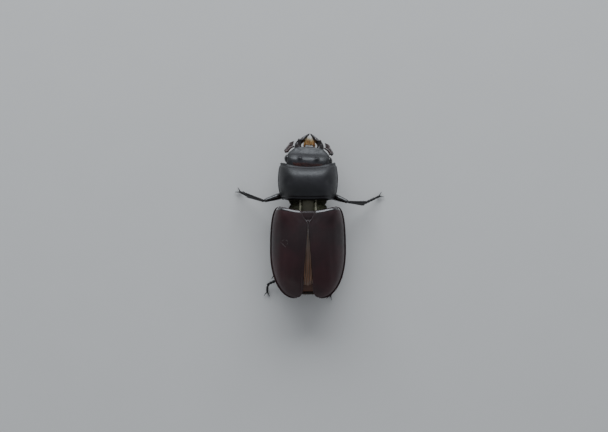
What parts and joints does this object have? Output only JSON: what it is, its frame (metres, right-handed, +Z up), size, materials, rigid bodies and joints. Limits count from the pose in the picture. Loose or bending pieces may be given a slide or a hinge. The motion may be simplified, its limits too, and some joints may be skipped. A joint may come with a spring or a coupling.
{
  "type": "stag beetle",
  "caption": "Life-size model of a female stag beetle standing on its legs, with short jaws, glossy black thorax and dark brown wing cases that part towards the rear.",
  "frame": {"origin": "on the floor, under the middle of the beetle's box", "axes": "+Z up, the head points to -Y, the animal's left side is +X"},
  "size_m": [0.0346, 0.038, 0.0132],
  "materials": {
    "elytra": "very dark chestnut-brown chitin, smooth and glossy, with a dense fine puncture",
    "thorax_shell": "black chitin, polished, finely punctured",
    "head_shell": "black chitin with a satin polish and a coarser puncture",
    "mandible": "black chitin, smooth and glossy, slightly brown at the teeth",
    "waist": "dull black membrane and plate with short golden hair",
    "underside": "black-brown chitin, satin, with short golden hair",
    "abdomen_belly": "black-brown chitin rings, satin",
    "abdomen_top": "thin brown cuticle, dull",
    "hind_wing": "folded amber wing membrane with brown veins",
    "leg": "black chitin, glossy on the thighs and punctured on the shins",
    "foot": "black-brown chitin, satin",
    "feeler": "dark reddish-brown chitin, satin, with a dull black club",
    "eye": "black compound eye, glossy with a very fine facet pattern",
    "mouth_brush": "golden-orange hair brush"
  },
  "bodies": {
    "root": {"elytron_left": "elytra", "elytron_right": "elytra", "scutellum": "thorax_shell", "hind_wings": "hind_wing", "abdomen_back": "abdomen_top", "pronotum": "thorax_shell", "mesothorax": "waist", "head": "head_shell", "labrum": "head_shell", "mentum": "underside", "mouth_brush": "mouth_brush", "eye_left": "eye", "mandible_left": "mandible", "antenna_left": "feeler", "palp_left": "feeler", "eye_right": "eye", "mandible_right": "mandible", "antenna_right": "feeler", "palp_right": "feeler", "prosternum": "underside", "metasternum": "underside", "abdomen_belly": "abdomen_belly", "coxa_front_left": "leg", "femur_front_left": "leg", "tibia_front_left": "leg", "tarsus_front_left": "foot", "coxa_front_right": "leg", "femur_front_right": "leg", "tibia_front_right": "leg", "tarsus_front_right": "foot", "coxa_middle_left": "leg", "femur_middle_left": "leg", "tibia_middle_left": "leg", "tarsus_middle_left": "foot", "coxa_middle_right": "leg", "femur_middle_right": "leg", "tibia_middle_right": "leg", "tarsus_middle_right": "foot", "coxa_hind_left": "leg", "femur_hind_left": "leg", "tibia_hind_left": "leg", "tarsus_hind_left": "foot", "coxa_hind_right": "leg", "femur_hind_right": "leg", "tibia_hind_right": "leg", "tarsus_hind_right": "foot"}
  },
  "joints": []
}
